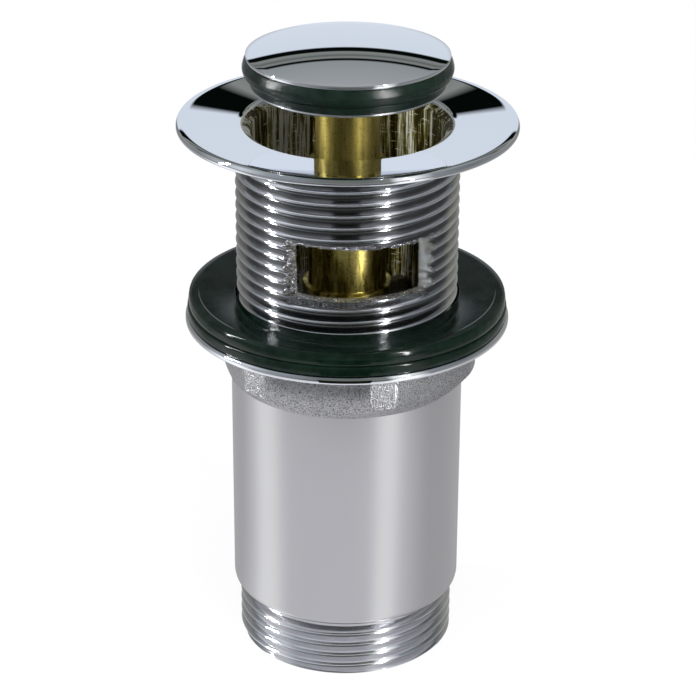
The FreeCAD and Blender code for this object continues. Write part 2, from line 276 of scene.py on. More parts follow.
def thread_profile(bm, radius, pitch, rounding):
    """Draw one turn's section of a Whitworth thread, from flank to flank, in the XZ plane."""
    sharp_height = pitch / 2 / math.tan(math.radians(27.5))
    middle = radius - (sharp_height / 2 - sharp_height / 6)
    points = [
        (middle, 0), (middle + sharp_height / 2, pitch / 4), (middle, pitch / 2),
        (middle - sharp_height / 2, pitch * 3 / 4), (middle, pitch),
    ]
    verts = [bm.verts.new((x, 0, z)) for x, z in points]
    for lower, upper in zip(verts, verts[1:]):
        bm.edges.new((lower, upper))
    back = rounding / math.tan(math.radians(27.5))
    bmesh.ops.bevel(bm, geom=[verts[1], verts[3]], offset=back, affect="VERTICES",
                    segments=CORNER_STEPS, profile=0.5, material=-1)


def threaded_tube(name, bottom, top, bore, bottom_chamfer, top_chamfer):
    """Model a tube with the pipe thread outside and a plain bore."""
    sizes = bpy.context.scene.waste_sizes
    radius = sizes.thread_radius
    pitch = sizes.thread_pitch
    bm = bmesh.new()
    thread_profile(bm, radius, pitch, sizes.thread_round)
    turns = math.ceil((top - bottom) / pitch) + 2
    bmesh.ops.translate(bm, verts=list(bm.verts), vec=(0, 0, bottom - pitch))
    bmesh.ops.spin(bm, geom=list(bm.verts) + list(bm.edges), cent=(0, 0, 0), axis=(0, 0, 1),
                   dvec=(0, 0, pitch / THREAD_STEPS), angle=math.tau, steps=THREAD_STEPS)
    one_turn = list(bm.verts) + list(bm.edges) + list(bm.faces)
    for i in range(1, turns):
        grown = bmesh.ops.duplicate(bm, geom=one_turn)["geom"]
        bmesh.ops.translate(bm, verts=[item for item in grown if isinstance(item, bmesh.types.BMVert)],
                            vec=(0, 0, pitch * i))
    bmesh.ops.remove_doubles(bm, verts=list(bm.verts), dist=1e-6)
    for height, inner, outer in ((bottom, True, False), (top, False, True)):
        bmesh.ops.bisect_plane(bm, geom=list(bm.verts) + list(bm.edges) + list(bm.faces),
                               dist=1e-7, plane_co=(0, 0, height), plane_no=(0, 0, 1),
                               clear_inner=inner, clear_outer=outer)
    for vert in bm.verts:
        reach = vert.co.xy.length
        limit = min(radius - bottom_chamfer + (vert.co.z - bottom),
                    radius - top_chamfer + (top - vert.co.z))
        if reach > limit:
            vert.co.xy *= limit / reach
    inner_edges = []
    for height in (bottom, top):
        rim = [edge for edge in bm.edges if edge.is_boundary
               and all(abs(vert.co.z - height) < 1e-6 for vert in edge.verts)]
        grown = bmesh.ops.extrude_edge_only(bm, edges=rim)["geom"]
        for vert in grown:
            if isinstance(vert, bmesh.types.BMVert):
                vert.co.xy *= bore / vert.co.xy.length
        inner_edges += [edge for edge in grown if isinstance(edge, bmesh.types.BMEdge)
                        and edge.is_boundary]
    bmesh.ops.bridge_loops(bm, edges=inner_edges)
    bmesh.ops.recalc_face_normals(bm, faces=list(bm.faces))
    return finish_mesh(bm, name)


# Helpers for materials

def add_node(tree, kind, inputs=None, **settings):
    """Add one node with its settings and its sockets' values or links."""
    node = tree.nodes.new(kind)
    for name, value in settings.items():
        setattr(node, name, value)
    for socket, value in (inputs or {}).items():
        if isinstance(value, bpy.types.NodeSocket):
            tree.links.new(value, node.inputs[socket])
        else:
            node.inputs[socket].default_value = value
    return node


def new_material(name):
    material = bpy.data.materials.new(name)
    material.use_nodes = True
    material.node_tree.nodes.clear()
    return material


def set_stops(ramp_node, stops):
    """Give a colour ramp its (position, colour) stops."""
    elements = ramp_node.color_ramp.elements
    while len(elements) > 1:
        elements.remove(elements[-1])
    elements[0].position, elements[0].color = stops[0]
    for position, colour in stops[1:]:
        elements.new(position).color = colour


def grey(value):
    return (value, value, value, 1)


def surface_noise(tree, size, stretch=(1, 1, 1), detail=4.0, roughness=0.6):
    """Noise whose grains measure size, stretched along the axes."""
    place = add_node(tree, "ShaderNodeTexCoord")
    mapping = add_node(tree, "ShaderNodeMapping",
                       {"Vector": place.outputs["Object"], "Scale": stretch})
    return add_node(tree, "ShaderNodeTexNoise",
                    {"Vector": mapping.outputs["Vector"], "Scale": 1 / size, "Detail": detail,
                     "Roughness": roughness})


def ranged(tree, value, low, high, start=0.0, end=1.0):
    """Map a value to the range from low to high."""
    node = add_node(tree, "ShaderNodeMapRange",
                    {"Value": value, "From Min": start, "From Max": end, "To Min": low,
                     "To Max": high})
    return node.outputs["Result"]


def close_metal(tree, colour, roughness, normal=None, rings=0.0):
    """End a metal's nodes in its shader; rings from a turning tool spread its glare upright."""
    inputs = {"Base Color": colour, "Metallic": 1.0, "Roughness": roughness}
    if rings:
        around = add_node(tree, "ShaderNodeTangent", direction_type="RADIAL", axis="Z")
        inputs.update({"Anisotropic": rings, "Anisotropic Rotation": 0.25,
                       "Tangent": around.outputs["Tangent"]})
    if normal is not None:
        inputs["Normal"] = normal
    shader = add_node(tree, "ShaderNodeBsdfPrincipled", inputs)
    add_node(tree, "ShaderNodeOutputMaterial", {"Surface": shader.outputs["BSDF"]})


def polished_chrome():
    """Chromium plate over buffed brass: a cool mirror with a faint haze and wiping scratches."""
    finish = bpy.context.scene.waste_finish
    material = new_material("polished chrome plate")
    tree = material.node_tree
    haze = surface_noise(tree, 6 * MM)
    scratches = surface_noise(tree, 0.12 * MM, stretch=(0.12, 1, 1), detail=2.0)
    fine = ranged(tree, scratches.outputs["Fac"], 0, 0.03, 0.68, 0.8)
    rough = add_node(tree, "ShaderNodeMath",
                     {0: ranged(tree, haze.outputs["Fac"], 0.004, 0.012), 1: fine}, operation="ADD")
    close_metal(tree, finish.chrome, rough.outputs["Value"])
    return material


def plate_chrome():
    """Bright plate under the plug, which the flange mirrors beside the barrel."""
    material = new_material("bright plate under plug")
    tree = material.node_tree
    haze = surface_noise(tree, 6 * MM)
    close_metal(tree, linear("FDFDFF"), ranged(tree, haze.outputs["Fac"], 0.02, 0.05))
    return material


def cut_chrome(name, crest, root):
    """Plate over a cut thread with drag lines: rougher in the roots, and darker towards them as painted
    shade.
    """
    material = new_material(name)
    tree = material.node_tree
    drag = surface_noise(tree, 0.2 * MM, stretch=(0.04, 0.04, 1), detail=3.0)
    place_node = add_node(tree, "ShaderNodeTexCoord")
    level = add_node(tree, "ShaderNodeMapping",
                     {"Vector": place_node.outputs["Object"], "Scale": (1, 1, 0)})
    reach = add_node(tree, "ShaderNodeVectorMath", {0: level.outputs["Vector"]},
                     operation="LENGTH")
    # Painted shade: the colour goes from the crest tone at the thread's outer radius to the darker root
    # tone in the roots
    share = ranged(tree, reach.outputs["Value"], 0, 1, 20.2 * MM, 20.9 * MM)
    root_shade_and_drag = add_node(tree, "ShaderNodeMath",
                    {0: share, 1: ranged(tree, drag.outputs["Fac"], -0.25, 0.25, 0.3, 0.7)},
                    operation="ADD", use_clamp=True)
    tone = add_node(tree, "ShaderNodeMix",
                    {"Factor": root_shade_and_drag.outputs["Value"], "A": linear(root), "B": linear(crest)},
                    data_type="RGBA")
    bump = add_node(tree, "ShaderNodeBump",
                    {"Height": drag.outputs["Fac"], "Strength": 0.15, "Distance": 0.01 * MM})
    close_metal(tree, tone.outputs["Result"], ranged(tree, share, 0.16, 0.06),
                bump.outputs["Normal"], rings=0.4)
    return material


def shank_chrome():
    """Plate on the shank's thread, with painted shade darkening it towards its roots."""
    return cut_chrome("chrome plate on shank thread", "E2E4E8", "97999A")


def outlet_chrome():
    """Plate on the outlet's thread, an even mid grey, with light painted shade towards its roots."""
    return cut_chrome("chrome plate on outlet thread", "EEF0F4", "CBCCCF")


def milled_chrome():
    """Plate over a torn, milled face: coarse chatter, bright burrs and dark tears."""
    finish = bpy.context.scene.waste_finish
    material = new_material("chrome plate on milled slot")
    tree = material.node_tree
    chatter = surface_noise(tree, 0.45 * MM, detail=5.0, roughness=0.7)
    tone = add_node(tree, "ShaderNodeMix",
                    {"Factor": ranged(tree, chatter.outputs["Fac"], 0, 1, 0.4, 0.58),
                     "A": linear("5B5048"), "B": finish.chrome}, data_type="RGBA")
    bump = add_node(tree, "ShaderNodeBump",
                    {"Height": chatter.outputs["Fac"], "Strength": 1.0, "Distance": 0.5 * MM})
    close_metal(tree, tone.outputs["Result"], ranged(tree, chatter.outputs["Fac"], 0.12, 0.35),
                bump.outputs["Normal"])
    return material


def bore_chrome():
    """Plate in a drilled bore: scored upright streaks toned at random from near-black through olive to
    near-white, where the near-black is painted shade deep in the bore and the near-white painted
    highlight.
    """
    material = new_material("chrome plate in bore with painted light")
    tree = material.node_tree
    broad = surface_noise(tree, 3.4 * MM, stretch=(1, 1, 0.03), detail=2.0)
    scores = surface_noise(tree, 0.7 * MM, stretch=(1, 1, 0.05), detail=4.0, roughness=0.7)
    scratches = surface_noise(tree, 0.25 * MM, stretch=(0.1, 0.1, 1), detail=2.0)
    grouped = add_node(tree, "ShaderNodeMath",
                       {0: ranged(tree, scores.outputs["Fac"], 0, 0.6, 0.34, 0.66),
                        1: ranged(tree, broad.outputs["Fac"], 0, 0.4, 0.36, 0.62)},
                       operation="ADD")
    streak = add_node(tree, "ShaderNodeMath",
                      {0: grouped.outputs["Value"],
                       1: ranged(tree, scratches.outputs["Fac"], 0, 0.4, 0.62, 0.72)},
                      operation="ADD", use_clamp=True)
    # Painted light: the ramp's near-black stops paint the shade deep in the bore, and its near-white
    # stop paints highlights on the streaks
    tone = add_node(tree, "ShaderNodeValToRGB", {"Fac": streak.outputs["Value"]})
    set_stops(tone, [(share, linear(code)) for share, code in (
        (0.0, "201C08"), (0.36, "342E10"), (0.46, "8A8040"), (0.56, "B5AE78"), (0.64, "FAFAF2"))])
    bump = add_node(tree, "ShaderNodeBump",
                    {"Height": scores.outputs["Fac"], "Strength": 0.6, "Distance": 0.3 * MM})
    close_metal(tree, tone.outputs["Color"], ranged(tree, streak.outputs["Value"], 0.4, 0.72),
                bump.outputs["Normal"], rings=0.95)
    return material


def satin_chrome():
    """Chromium plate over fine blasting: soft, even sheen with a few dark pits."""
    finish = bpy.context.scene.waste_finish
    material = new_material("satin chrome plate")
    tree = material.node_tree
    grain = surface_noise(tree, 0.1 * MM, detail=2.0)
    cloud = surface_noise(tree, 9 * MM)
    place = add_node(tree, "ShaderNodeTexCoord")
    cells = add_node(tree, "ShaderNodeTexVoronoi",
                     {"Vector": place.outputs["Object"], "Scale": 1 / (10 * MM)})
    pits = ranged(tree, cells.outputs["Distance"], 0.8, 0, 0.02, 0.03)
    tone = add_node(tree, "ShaderNodeMix",
                    {"Factor": pits, "A": finish.satin, "B": linear("3A3438")}, data_type="RGBA")
    rough = ranged(tree, cloud.outputs["Fac"], 0.24, 0.28)
    bump = add_node(tree, "ShaderNodeBump",
                    {"Height": grain.outputs["Fac"], "Strength": 0.05, "Distance": 0.02 * MM})
    close_metal(tree, tone.outputs["Result"], rough, bump.outputs["Normal"])
    return material


def cast_chrome():
    """Chromium plate over a sand-cast skin: coarse grain that sparkles and dark specks."""
    finish = bpy.context.scene.waste_finish
    material = new_material("chrome plate on cast collar")
    tree = material.node_tree
    grain = surface_noise(tree, 0.26 * MM, detail=2.0, roughness=0.5)
    tone = add_node(tree, "ShaderNodeMix",
                    {"Factor": ranged(tree, grain.outputs["Fac"], 0, 1, 0.36, 0.56),
                     "A": linear("7E7E82"), "B": finish.satin}, data_type="RGBA")
    bump = add_node(tree, "ShaderNodeBump",
                    {"Height": grain.outputs["Fac"], "Strength": 0.9, "Distance": 0.16 * MM})
    close_metal(tree, tone.outputs["Result"], 0.3, bump.outputs["Normal"])
    return material


def brass_material(name, streak, film_stretch, film_and_shade_share, rough_low, rough_high, rings):
    """Bare brass with streaks left by its making, a brown film and fine specks; where the film's share
    is large, it is painted shade as well as tarnish.
    """
    finish = bpy.context.scene.waste_finish
    material = new_material(name)
    tree = material.node_tree
    streaks = surface_noise(tree, 0.3 * MM, stretch=streak, detail=4.0)
    film = surface_noise(tree, 1.6 * MM, stretch=film_stretch, detail=4.0)
    grit = surface_noise(tree, 0.3 * MM, detail=2.0)
    # Tarnish and painted shade: the film and specks darken the brass, and a large film share paints
    # shade over most of it
    tarnish_and_shade = add_node(tree, "ShaderNodeMath",
                    {0: ranged(tree, film.outputs["Fac"], 0, film_and_shade_share, 0.4, 0.6),
                     1: ranged(tree, grit.outputs["Fac"], 0, 0.9, 0.6, 0.72)},
                    operation="ADD", use_clamp=True)
    tone = add_node(tree, "ShaderNodeMix",
                    {"Factor": tarnish_and_shade.outputs["Value"], "A": finish.brass, "B": finish.brass_tarnish_and_shade},
                    data_type="RGBA")
    rough = ranged(tree, streaks.outputs["Fac"], rough_low, rough_high, 0.3, 0.7)
    bump = add_node(tree, "ShaderNodeBump",
                    {"Height": streaks.outputs["Fac"], "Strength": 0.12, "Distance": 0.03 * MM})
    close_metal(tree, tone.outputs["Result"], rough, bump.outputs["Normal"], rings=rings)
    return material


def drawn_brass():
    """Drawn tube: streaks along its length."""
    return brass_material("drawn brass tube", (1, 1, 0.03), (1, 1, 0.05), 0.55, 0.55, 0.72, 0.9)


def turned_brass():
    """Turned bar: fine rings from the tool, and a film over nearly all of it that darkens it as painted
    shade.
    """
    # The film share of 0.95 paints shade on the sleeve down in the slot
    return brass_material("turned brass", (0.03, 0.03, 1), (1, 1, 0.2), 0.95, 0.26, 0.36, 0.6)


def rubber_material(name, rough_low, rough_high, bloom_share, ring_strength, sheen):
    """Moulded nitrile rubber: near black with a green cast, soft gloss and pale dust."""
    finish = bpy.context.scene.waste_finish
    material = new_material(name)
    tree = material.node_tree
    cloud = surface_noise(tree, 3 * MM)
    dust = surface_noise(tree, 0.18 * MM, detail=2.0)
    spots = add_node(tree, "ShaderNodeMath",
                     {0: ranged(tree, dust.outputs["Fac"], 0, 0.9, 0.66, 0.78),
                      1: ranged(tree, cloud.outputs["Fac"], 0, bloom_share, 0.4, 0.8)},
                     operation="ADD", use_clamp=True)
    tone = add_node(tree, "ShaderNodeMix",
                    {"Factor": spots.outputs["Value"], "A": finish.rubber, "B": finish.bloom},
                    data_type="RGBA")
    rings = surface_noise(tree, 0.2 * MM, stretch=(0.05, 0.05, 1), detail=2.0)
    skin = add_node(tree, "ShaderNodeMath",
                    {0: rings.outputs["Fac"], 1: dust.outputs["Fac"]}, operation="ADD")
    bump = add_node(tree, "ShaderNodeBump",
                    {"Height": skin.outputs["Value"], "Strength": ring_strength,
                     "Distance": 0.03 * MM})
    shader = add_node(tree, "ShaderNodeBsdfPrincipled",
                      {"Base Color": tone.outputs["Result"],
                       "Roughness": ranged(tree, cloud.outputs["Fac"], rough_low, rough_high),
                       "Normal": bump.outputs["Normal"], "IOR": 1.52,
                       "Specular IOR Level": sheen})
    add_node(tree, "ShaderNodeOutputMaterial", {"Surface": shader.outputs["BSDF"]})
    return material


def seal_rubber():
    """Compression-moulded seal with a satin skin."""
    return rubber_material("moulded seal rubber", 0.1, 0.24, 0.3, 0.8, 0.45)


def washer_rubber():
    """Die-moulded washer, smooth enough to mirror the thread above it softly."""
    return rubber_material("moulded washer rubber", 0.07, 0.14, 0.2, 0.1, 0.28)


def drawn_steel():
    """Stainless spring wire and turned screws: grey, with fine drawing lines."""
    finish = bpy.context.scene.waste_finish
    material = new_material("stainless steel")
    tree = material.node_tree
    lines = surface_noise(tree, 0.15 * MM, stretch=(0.1, 0.1, 1), detail=3.0)
    bump = add_node(tree, "ShaderNodeBump",
                    {"Height": lines.outputs["Fac"], "Strength": 0.2, "Distance": 0.01 * MM})
    close_metal(tree, finish.steel, ranged(tree, lines.outputs["Fac"], 0.2, 0.36),
                bump.outputs["Normal"])
    return material


def natural_acetal():
    """Natural acetal resin, moulded: waxy off-white with a faint mottle."""
    finish = bpy.context.scene.waste_finish
    material = new_material("moulded acetal")
    tree = material.node_tree
    mottle = surface_noise(tree, 0.8 * MM)
    tone = add_node(tree, "ShaderNodeMix",
                    {"Factor": ranged(tree, mottle.outputs["Fac"], 0, 0.4, 0.4, 0.7),
                     "A": finish.acetal, "B": linear("D5D2C6")}, data_type="RGBA")
    shader = add_node(tree, "ShaderNodeBsdfPrincipled",
                      {"Base Color": tone.outputs["Result"],
                       "Roughness": ranged(tree, mottle.outputs["Fac"], 0.34, 0.46), "IOR": 1.48})
    add_node(tree, "ShaderNodeOutputMaterial", {"Surface": shader.outputs["BSDF"]})
    return material


FINISHES = {}


def finish_named(make):
    """Make each material once."""
    if make.__name__ not in FINISHES:
        FINISHES[make.__name__] = make()
    return FINISHES[make.__name__]


def place(piece, body, slot, material, *nodes):
    """Give a piece its finish, its body and the frame's nodes that it stands for."""
    piece.data.materials.clear()
    piece.data.materials.append(finish_named(material))
    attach(piece, body)
    if nodes:
        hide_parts(*nodes)


def dress(node, material):
    """Give a node of the frame its finish."""
    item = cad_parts[node]
    if not item.data.materials:
        item.data.materials.append(None)
    for slot in item.material_slots:
        slot.link = "OBJECT"
        slot.material = finish_named(material)


class BASINWASTE_OT_flange(bpy.types.Operator):
    """Model the polished flange with its mouth, seat and hub"""

    bl_idname = "basinwaste.flange"
    bl_label = "Flange"

    def execute(self, context):
        sizes = context.scene.waste_sizes
        rim_inner = FLANGE_RADIUS - 0.9 * MM
        mouth_outer = MOUTH_RADIUS + 0.6 * MM
        top = FLANGE_TOP - 0.05 * MM
        curve_steps = 20
        level_from = 0.94
        surface = []
        for i in range(curve_steps + 1):
            share = i / curve_steps
            eased = max(0, share - level_from)
            rise = (share - eased * eased / 2 / (1 - level_from)) / (1 + level_from) * 2
            surface.append((mouth_outer + (rim_inner - mouth_outer) * share,
                            top - sizes.flange_dish * (1 - rise), 0))
        lip = surface[0][1]
        outline = [
            (BORE_RADIUS, HUB_BOTTOM, 0),
            (BORE_RADIUS, lip - 1.2 * MM, 0.4 * MM),
            (MOUTH_RADIUS - 0.1 * MM, lip - 0.3 * MM, 0),
            (MOUTH_RADIUS + 0.2 * MM, lip - 0.08 * MM, 0),
        ] + surface + [
            (FLANGE_RADIUS - 0.28 * MM, top - 0.12 * MM, 0),
            (FLANGE_RADIUS, top - 0.55 * MM, 0.2 * MM),
            (FLANGE_RADIUS, FLANGE_TOP - 1.4 * MM, 0.35 * MM),
            (22.0 * MM, FLANGE_TOP - 1.4 * MM, 1.0 * MM),
            (22.0 * MM, HUB_BOTTOM, 0.15 * MM),
        ]
        plate = turned("flange_plate", outline, steps=288)
        place(plate, "waste_body", "polished_chrome", polished_chrome, "flange_body")
        plate.data.materials.append(finish_named(bore_chrome))
        for face in plate.data.polygons:
            if math.hypot(face.center.x, face.center.y) < MOUTH_RADIUS - 0.12 * MM:
                face.material_index = 1
        return {"FINISHED"}


class BASINWASTE_OT_shank(bpy.types.Operator):
    """Model the threaded shank with its two milled overflow slots"""

    bl_idname = "basinwaste.shank"
    bl_label = "Threaded shank"

    cutter_radius = 24.0 * MM
    cutter_distance = 35.3 * MM
    slot_bottom = 79.2 * MM
    slot_top = 89.6 * MM

    def slot_cutter(self, side, generator):
        bm = bmesh.new()
        bmesh.ops.create_cone(bm, cap_ends=True, cap_tris=False, segments=120,
                              radius1=self.cutter_radius, radius2=self.cutter_radius,
                              depth=self.slot_top - self.slot_bottom,
                              matrix=Matrix.Translation((0, side * self.cutter_distance,
                                                         (self.slot_top + self.slot_bottom) / 2)))
        walls = [edge for edge in bm.edges
                 if abs(edge.verts[0].co.z - edge.verts[1].co.z) > 1 * MM]
        bmesh.ops.subdivide_edges(bm, edges=walls, cuts=16)
        for vert in bm.verts:
            chatter = 0.12 * MM * generator.uniform(-1, 1)
            away = Vector((vert.co.x, vert.co.y - side * self.cutter_distance, 0)).normalized()
            vert.co += away * chatter
            vert.co.z += 0.05 * MM * generator.uniform(-1, 1)
        mesh = bpy.data.meshes.new("slot_cutter")
        bm.to_mesh(mesh)
        bm.free()
        cutter = bpy.data.objects.new("slot_cutter", mesh)
        bpy.context.scene.collection.objects.link(cutter)
        return cutter

    def raise_burrs(self, piece, burr, generator):
        """Tear up the edges where the cutter left the thread."""
        bm = bmesh.new()
        bm.from_mesh(piece.data)
        for vert in bm.verts:
            reach = vert.co.xy.length
            if reach < BORE_RADIUS + 0.4 * MM:
                continue
            side = 1 if vert.co.y > 0 else -1
            from_cutter = math.hypot(vert.co.x, vert.co.y - side * self.cutter_distance)
            near_wall = abs(from_cutter - self.cutter_radius) < 0.3 * MM
            near_floor = min(abs(vert.co.z - self.slot_bottom), abs(vert.co.z - self.slot_top))
            inside = self.slot_bottom - 0.2 * MM < vert.co.z < self.slot_top + 0.2 * MM
            within = from_cutter < self.cutter_radius + 0.3 * MM
            if inside and within and (near_wall or near_floor < 0.2 * MM):
                out = Vector((vert.co.x, vert.co.y, 0)).normalized()
                vert.co += out * burr * generator.uniform(-0.9, 0.7)
                vert.co.x += burr * generator.uniform(-0.6, 0.6)
                vert.co.z += burr * generator.uniform(-0.7, 0.7)
                over = vert.co.xy.length / bpy.context.scene.waste_sizes.thread_radius
                if over > 1:
                    vert.co.xy /= over
        bm.to_mesh(piece.data)
        bm.free()

    def paint_faces(self, piece):
        """Give the bore and the milled faces their own finish."""
        piece.data.materials.append(finish_named(bore_chrome))
        piece.data.materials.append(finish_named(milled_chrome))
        for face in piece.data.polygons:
            centre = face.center
            reach = math.hypot(centre.x, centre.y)
            side = 1 if centre.y > 0 else -1
            from_cutter = math.hypot(centre.x, centre.y - side * self.cutter_distance)
            in_slot = self.slot_bottom - 0.3 * MM < centre.z < self.slot_top + 0.3 * MM
            inwards = face.normal.x * centre.x + face.normal.y * centre.y < -0.7 * reach
            if reach < BORE_RADIUS + 0.1 * MM and inwards:
                face.material_index = 1
            elif in_slot and from_cutter < self.cutter_radius + 0.35 * MM:
                face.material_index = 2

    def execute(self, context):
        sizes = context.scene.waste_sizes
        generator = random.Random(7)
        shank = threaded_tube("threaded_shank", SHANK_END, HUB_BOTTOM, BORE_RADIUS,
                              1.1 * MM, 0.9 * MM)
        cut_by(shank, self.slot_cutter(-1, generator), self.slot_cutter(1, generator))
        self.raise_burrs(shank, sizes.burr, generator)
        place(shank, "waste_body", "polished_chrome", shank_chrome, "flange_body")
        self.paint_faces(shank)
        return {"FINISHED"}


class BASINWASTE_OT_bridge(bpy.types.Operator):
    """Model the cast bridge that holds the guide sleeve"""

    bl_idname = "basinwaste.bridge"
    bl_label = "Bridge"

    def execute(self, context):
        bottom = 62.0 * MM
        hub_radius = 8.3 * MM
        arm_half = 1.6 * MM
        reach = BORE_RADIUS + 0.3 * MM
        hub = turned("bridge_hub", [
            (5.03 * MM, bottom, 0.2 * MM),
            (hub_radius, bottom, 0.6 * MM),
            (hub_radius, SLEEVE_SEAT, 0.4 * MM),
            (5.03 * MM, SLEEVE_SEAT, 0),
        ], steps=128)
        place(hub, "waste_body", "polished_chrome", cast_chrome, "flange_body")
        bm = bmesh.new()
        for i in range(4):
            side = [
                (hub_radius - 1.5 * MM, bottom), (reach, bottom),
                (reach, SLEEVE_SEAT - 4.4 * MM), (hub_radius - 1.5 * MM, SLEEVE_SEAT - 2.6 * MM),
            ]
            verts = [bm.verts.new((x, -arm_half, z)) for x, z in side]
            face = bm.faces.new(verts)
            grown = bmesh.ops.extrude_face_region(bm, geom=[face])["geom"]
            moved = [item for item in grown if isinstance(item, bmesh.types.BMVert)]
            bmesh.ops.translate(bm, verts=moved, vec=(0, 2 * arm_half, 0))
            arm = set(verts) | set(moved)
            long_edges = [edge for edge in bm.edges if set(edge.verts) <= arm
                          and abs(edge.verts[0].co.x - edge.verts[1].co.x) > 2 * MM]
            edges = bmesh.ops.bevel(bm, geom=long_edges, offset=1.1 * MM, affect="EDGES",
                                    segments=5, profile=0.5, material=-1)
            arm = {vert for vert in arm | set(edges["verts"]) if vert.is_valid}
            bmesh.ops.rotate(bm, verts=list(arm), cent=(0, 0, 0),
                             matrix=Matrix.Rotation(math.radians(45 + 90 * i), 3, "Z"))
        bmesh.ops.recalc_face_normals(bm, faces=list(bm.faces))
        arms = finish_mesh(bm, "bridge_arms")
        place(arms, "waste_body", "polished_chrome", cast_chrome, "flange_body")
        return {"FINISHED"}


class BASINWASTE_OT_sleeve(bpy.types.Operator):
    """Model the brass guide sleeve with its base ring"""

    bl_idname = "basinwaste.sleeve"
    bl_label = "Guide sleeve"

    def execute(self, context):
        bore = BARREL_RADIUS + 0.06 * MM
        floor = SLEEVE_SEAT + 3.0 * MM
        ring_top = SLEEVE_SEAT + 1.0 * MM
        sleeve = turned("guide_sleeve_turned", [
            (1.6 * MM, SLEEVE_END, 0),
            (5.0 * MM, SLEEVE_END, 0.4 * MM),
            (5.0 * MM, SLEEVE_SEAT, 0),
            (SLEEVE_RING_RADIUS, SLEEVE_SEAT, 0.15 * MM),
            (SLEEVE_RING_RADIUS, ring_top, 0.3 * MM),
            (SLEEVE_RADIUS, ring_top, 0.25 * MM),
            (SLEEVE_RADIUS, SLEEVE_TOP, 0.3 * MM),
            (bore, SLEEVE_TOP, 0.25 * MM),
            (bore, floor, 0),
            (1.6 * MM, floor, 0),
        ])
        place(sleeve, "waste_body", "turned_brass", turned_brass, "guide_sleeve")
        return {"FINISHED"}


class BASINWASTE_OT_barrel(bpy.types.Operator):
    """Model the brass barrel with the hole for its pin"""

    bl_idname = "basinwaste.barrel"
    bl_label = "Barrel"

    def execute(self, context):
        bore = 4.95 * MM
        barrel = turned("barrel_tube", [
            (bore, BARREL_END, 0.15 * MM),
            (BARREL_RADIUS, BARREL_END, 0.3 * MM),
            (BARREL_RADIUS, BARREL_TOP, 0),
            (bore, BARREL_TOP, 0),
        ], steps=160)
        pin_low, pin_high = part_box("follower_pin")
        bm = bmesh.new()
        bmesh.ops.create_cone(bm, cap_ends=True, cap_tris=False, segments=48,
                              radius1=0.75 * MM, radius2=0.75 * MM, depth=4 * MM,
                              matrix=Matrix.Translation((BARREL_RADIUS, 0,
                                                         (pin_low.z + pin_high.z) / 2))
                              @ Matrix.Rotation(math.radians(90), 4, "Y"))
        cut_by(barrel, finish_mesh(bm, "pin_hole"))
        place(barrel, "plug", "turned_brass", drawn_brass, "plunger_tube")
        return {"FINISHED"}


class BASINWASTE_OT_plug(bpy.types.Operator):
    """Model the domed cap, its rubber seal and the plate under it"""

    bl_idname = "basinwaste.plug"
    bl_label = "Plug"

    def cap(self, sizes):
        rim = CAP_TOP - sizes.crown
        sphere = (CAP_RADIUS ** 2 + sizes.crown ** 2) / (2 * sizes.crown)
        edge_angle = math.asin((CAP_RADIUS - 0.25 * MM) / sphere)
        dome_steps = 22
        dome = []
        for i in range(dome_steps + 1):
            angle = edge_angle * i / dome_steps
            dome.append((sphere * math.sin(angle), CAP_TOP - sphere * (1 - math.cos(angle)), 0))
        outline = dome + [
            (CAP_RADIUS - 0.06 * MM, rim + 0.0 * MM, 0),
            (CAP_RADIUS, rim - 0.16 * MM, 0.08 * MM),
            (CAP_RADIUS - 0.05 * MM, SEAL_TOP, 0.1 * MM),
            (11.5 * MM, SEAL_TOP, 0),
            (11.5 * MM, SEAL_BOTTOM, 0),
            (5.0 * MM, SEAL_BOTTOM, 0),
            (5.0 * MM, 118.1 * MM + 1.0 * MM, 0),
            (0, 118.1 * MM + 1.0 * MM, 0),
        ]
        return turned("domed_cap", outline, steps=288)

    def seal(self):
        return turned("seal_ring", [
            (11.5 * MM, SEAL_BOTTOM, 0),
            (PLATE_RADIUS + 0.03 * MM, SEAL_BOTTOM, 0),
            (PLATE_RADIUS + 0.03 * MM, SEAL_BOTTOM - 0.5 * MM, 0.03 * MM),
            (18.0 * MM, SEAL_BOTTOM - 0.45 * MM, 0.05 * MM),
            (18.0 * MM, SEAL_BOTTOM + 0.3 * MM, 0),
            (18.3 * MM, SEAL_BOTTOM + 0.95 * MM, 0.06 * MM),
            (18.05 * MM, SEAL_BOTTOM + 1.12 * MM, 0.06 * MM),
            (18.95 * MM, SEAL_BOTTOM + 1.3 * MM, 0.2 * MM),
            (SEAL_RADIUS + 0.25 * MM, SEAL_BOTTOM + 2.3 * MM, 0.7 * MM),
            (SEAL_RADIUS + 0.05 * MM, SEAL_TOP - 1.0 * MM, 0.5 * MM),
            (CAP_RADIUS + 0.1 * MM, SEAL_TOP - 0.03 * MM, 0.2 * MM),
            (CAP_RADIUS - 0.1 * MM, SEAL_TOP, 0),
            (11.5 * MM, SEAL_TOP, 0),
        ], steps=256)

    def plate(self):
        return turned("seal_plate", [
            (5.0 * MM, PLATE_BOTTOM, 0),
            (PLATE_RADIUS, PLATE_BOTTOM, 0.3 * MM),
            (PLATE_RADIUS, SEAL_BOTTOM, 0.3 * MM),
            (5.0 * MM, SEAL_BOTTOM, 0),
        ], steps=192)

    def execute(self, context):
        sizes = context.scene.waste_sizes
        place(self.cap(sizes), "plug", "polished_chrome", polished_chrome, "plug_cap")
        place(self.seal(), "plug", "seal_rubber", seal_rubber, "plug_seal")
        place(self.plate(), "plug", "satin_chrome", plate_chrome, "seal_retainer")
        return {"FINISHED"}


